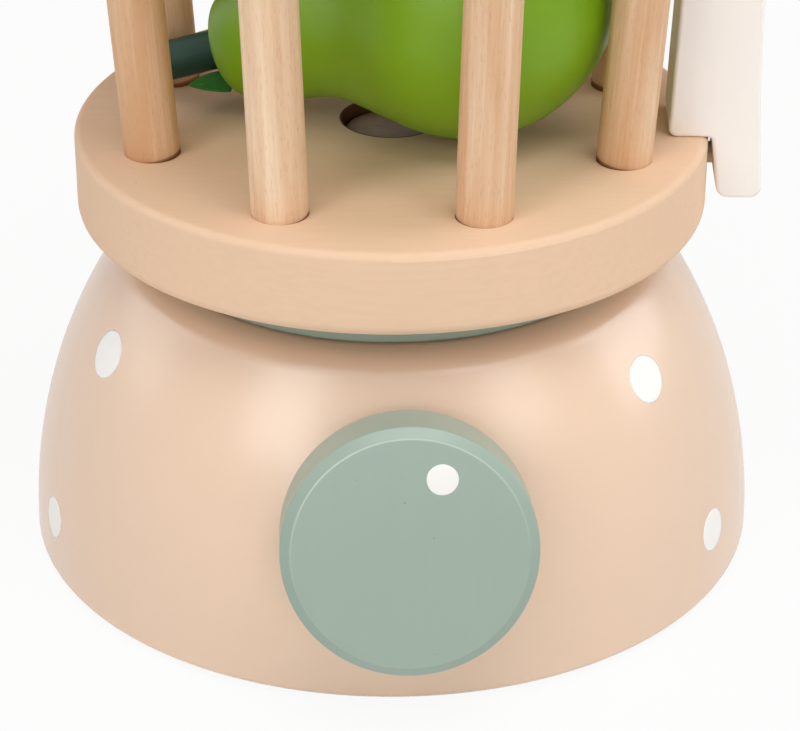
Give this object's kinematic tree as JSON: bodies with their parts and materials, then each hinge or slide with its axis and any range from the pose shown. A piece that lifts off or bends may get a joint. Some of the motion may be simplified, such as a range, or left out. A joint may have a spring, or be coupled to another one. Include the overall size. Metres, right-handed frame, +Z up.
{
  "type": "toy blender",
  "caption": "Play-kitchen toy blender of painted wood: domed base with a clicking knob, turntable, lift-off jug caged by dowels, side handle, lid and a play pear.",
  "frame": {"origin": "on the floor, at the centre of the felt pad's resting face, on the axis of the base, turntable and jug", "axes": "+Z up, +X towards the jug's handle, the knob faces -Y turned 4.55 degrees towards +X"},
  "size_m": [0.1437, 0.1515, 0.2227],
  "materials": {
    "peach_paint": "satin water-based paint on beech",
    "sage_paint": "satin water-based paint on beech",
    "white_paint": "satin water-based paint on beech",
    "pear_paint": "semi-gloss paint on beech",
    "stem_paint": "satin paint on beech",
    "bare_beech": "fine sanded",
    "plywood": "sanded",
    "felt": "pressed felt",
    "green_felt": "pressed felt",
    "zinc_steel": "zinc plated",
    "spring_steel": "drawn wire"
  },
  "bodies": {
    "base": {"base_dome": "peach_paint", "base_plate": "plywood", "base_felt": "felt", "base_plate_screws": "zinc_steel", "knob_washer": "felt", "click_spring": "spring_steel", "click_spring_screw": "zinc_steel"},
    "knob": {"knob": "sage_paint", "knob_shaft": "bare_beech", "click_wheel": "bare_beech", "knob_shaft_screw": "zinc_steel"},
    "turntable": {"turntable": "sage_paint", "turntable_peg": "bare_beech", "turntable_washer": "zinc_steel", "turntable_screw": "zinc_steel"},
    "jug": {"jug_floor": "peach_paint", "cage_dowel_1": "bare_beech", "cage_dowel_2": "bare_beech", "cage_dowel_3": "bare_beech", "cage_dowel_4": "bare_beech", "cage_dowel_5": "bare_beech", "cage_dowel_6": "bare_beech", "cage_dowel_7": "bare_beech", "cage_dowel_8": "bare_beech", "jug_rim": "peach_paint", "handle": "white_paint", "handle_pins": "bare_beech"},
    "lid": {"lid_disc": "sage_paint", "lid_plug": "bare_beech", "lid_knob": "white_paint", "lid_screw": "zinc_steel"},
    "pear": {"pear_body": "pear_paint", "pear_stem": "stem_paint", "pear_leaf": "green_felt"}
  },
  "joints": [
    {"name": "knob_turn", "type": "hinge", "parent": "base", "child": "knob", "pos_m": [0.00511, -0.06421, 0.0326], "axis": [0.0769, -0.9664, 0.2453], "continuous": true},
    {"name": "turntable_spin", "type": "hinge", "parent": "base", "child": "turntable", "pos_m": [0, 0, 0.059], "axis": [0, 0, 1], "continuous": true},
    {"name": "jug_lift", "type": "slide", "parent": "turntable", "child": "jug", "axis": [0, 0, 1], "range_m": [0, 0.06]},
    {"name": "lid_lift", "type": "slide", "parent": "jug", "child": "lid", "axis": [0, 0, 1], "range_m": [0, 0.05]},
    {"name": "pear_lift", "type": "slide", "parent": "jug", "child": "pear", "axis": [0, 0, 1], "range_m": [0, 0.035]}
  ]
}
